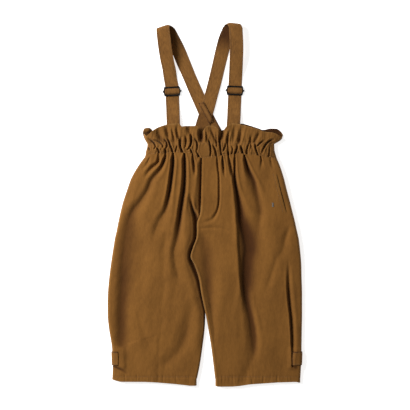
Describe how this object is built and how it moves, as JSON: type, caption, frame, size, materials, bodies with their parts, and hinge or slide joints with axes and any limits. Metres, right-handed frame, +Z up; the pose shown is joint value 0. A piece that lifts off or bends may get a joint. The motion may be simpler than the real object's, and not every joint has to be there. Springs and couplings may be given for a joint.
{
  "type": "suspender trousers",
  "caption": "Child's wide cotton trousers with elastic ruffled waist, crossed straps, wire sliders, side pocket slit and hem tabs, laid flat on their back",
  "frame": {"origin": "middle of the garment's length and width, on the surface it lies on", "axes": "+X is the wearer's left, +Y runs from the hems to the shoulders, +Z is up, out of the front of the trousers"},
  "size_m": [0.3596, 0.6704, 0.0163],
  "materials": {
    "leg_cloth": "ochre brown cotton twill, matt, softly creased",
    "waist_cloth": "ochre brown cotton twill gathered on elastic, matt",
    "strap_cloth": "ochre brown twill strap, stitched along both edges, matt",
    "tab_cloth": "ochre brown cotton twill, matt",
    "pocket_cloth": "ochre brown cotton, matt",
    "slider_metal": "black coated steel wire, satin"
  },
  "bodies": {
    "root": {"front_leg_right": "leg_cloth", "front_leg_left": "leg_cloth", "back_leg_right": "leg_cloth", "back_leg_left": "leg_cloth", "waist_front": "waist_cloth", "waist_back": "waist_cloth", "strap_right": "strap_cloth", "strap_left": "strap_cloth", "strap_keeper": "strap_cloth", "hem_tab_right": "tab_cloth", "hem_tab_left": "tab_cloth", "pocket_bag_left": "pocket_cloth", "slider_right": "slider_metal", "slider_left": "slider_metal"}
  },
  "joints": []
}
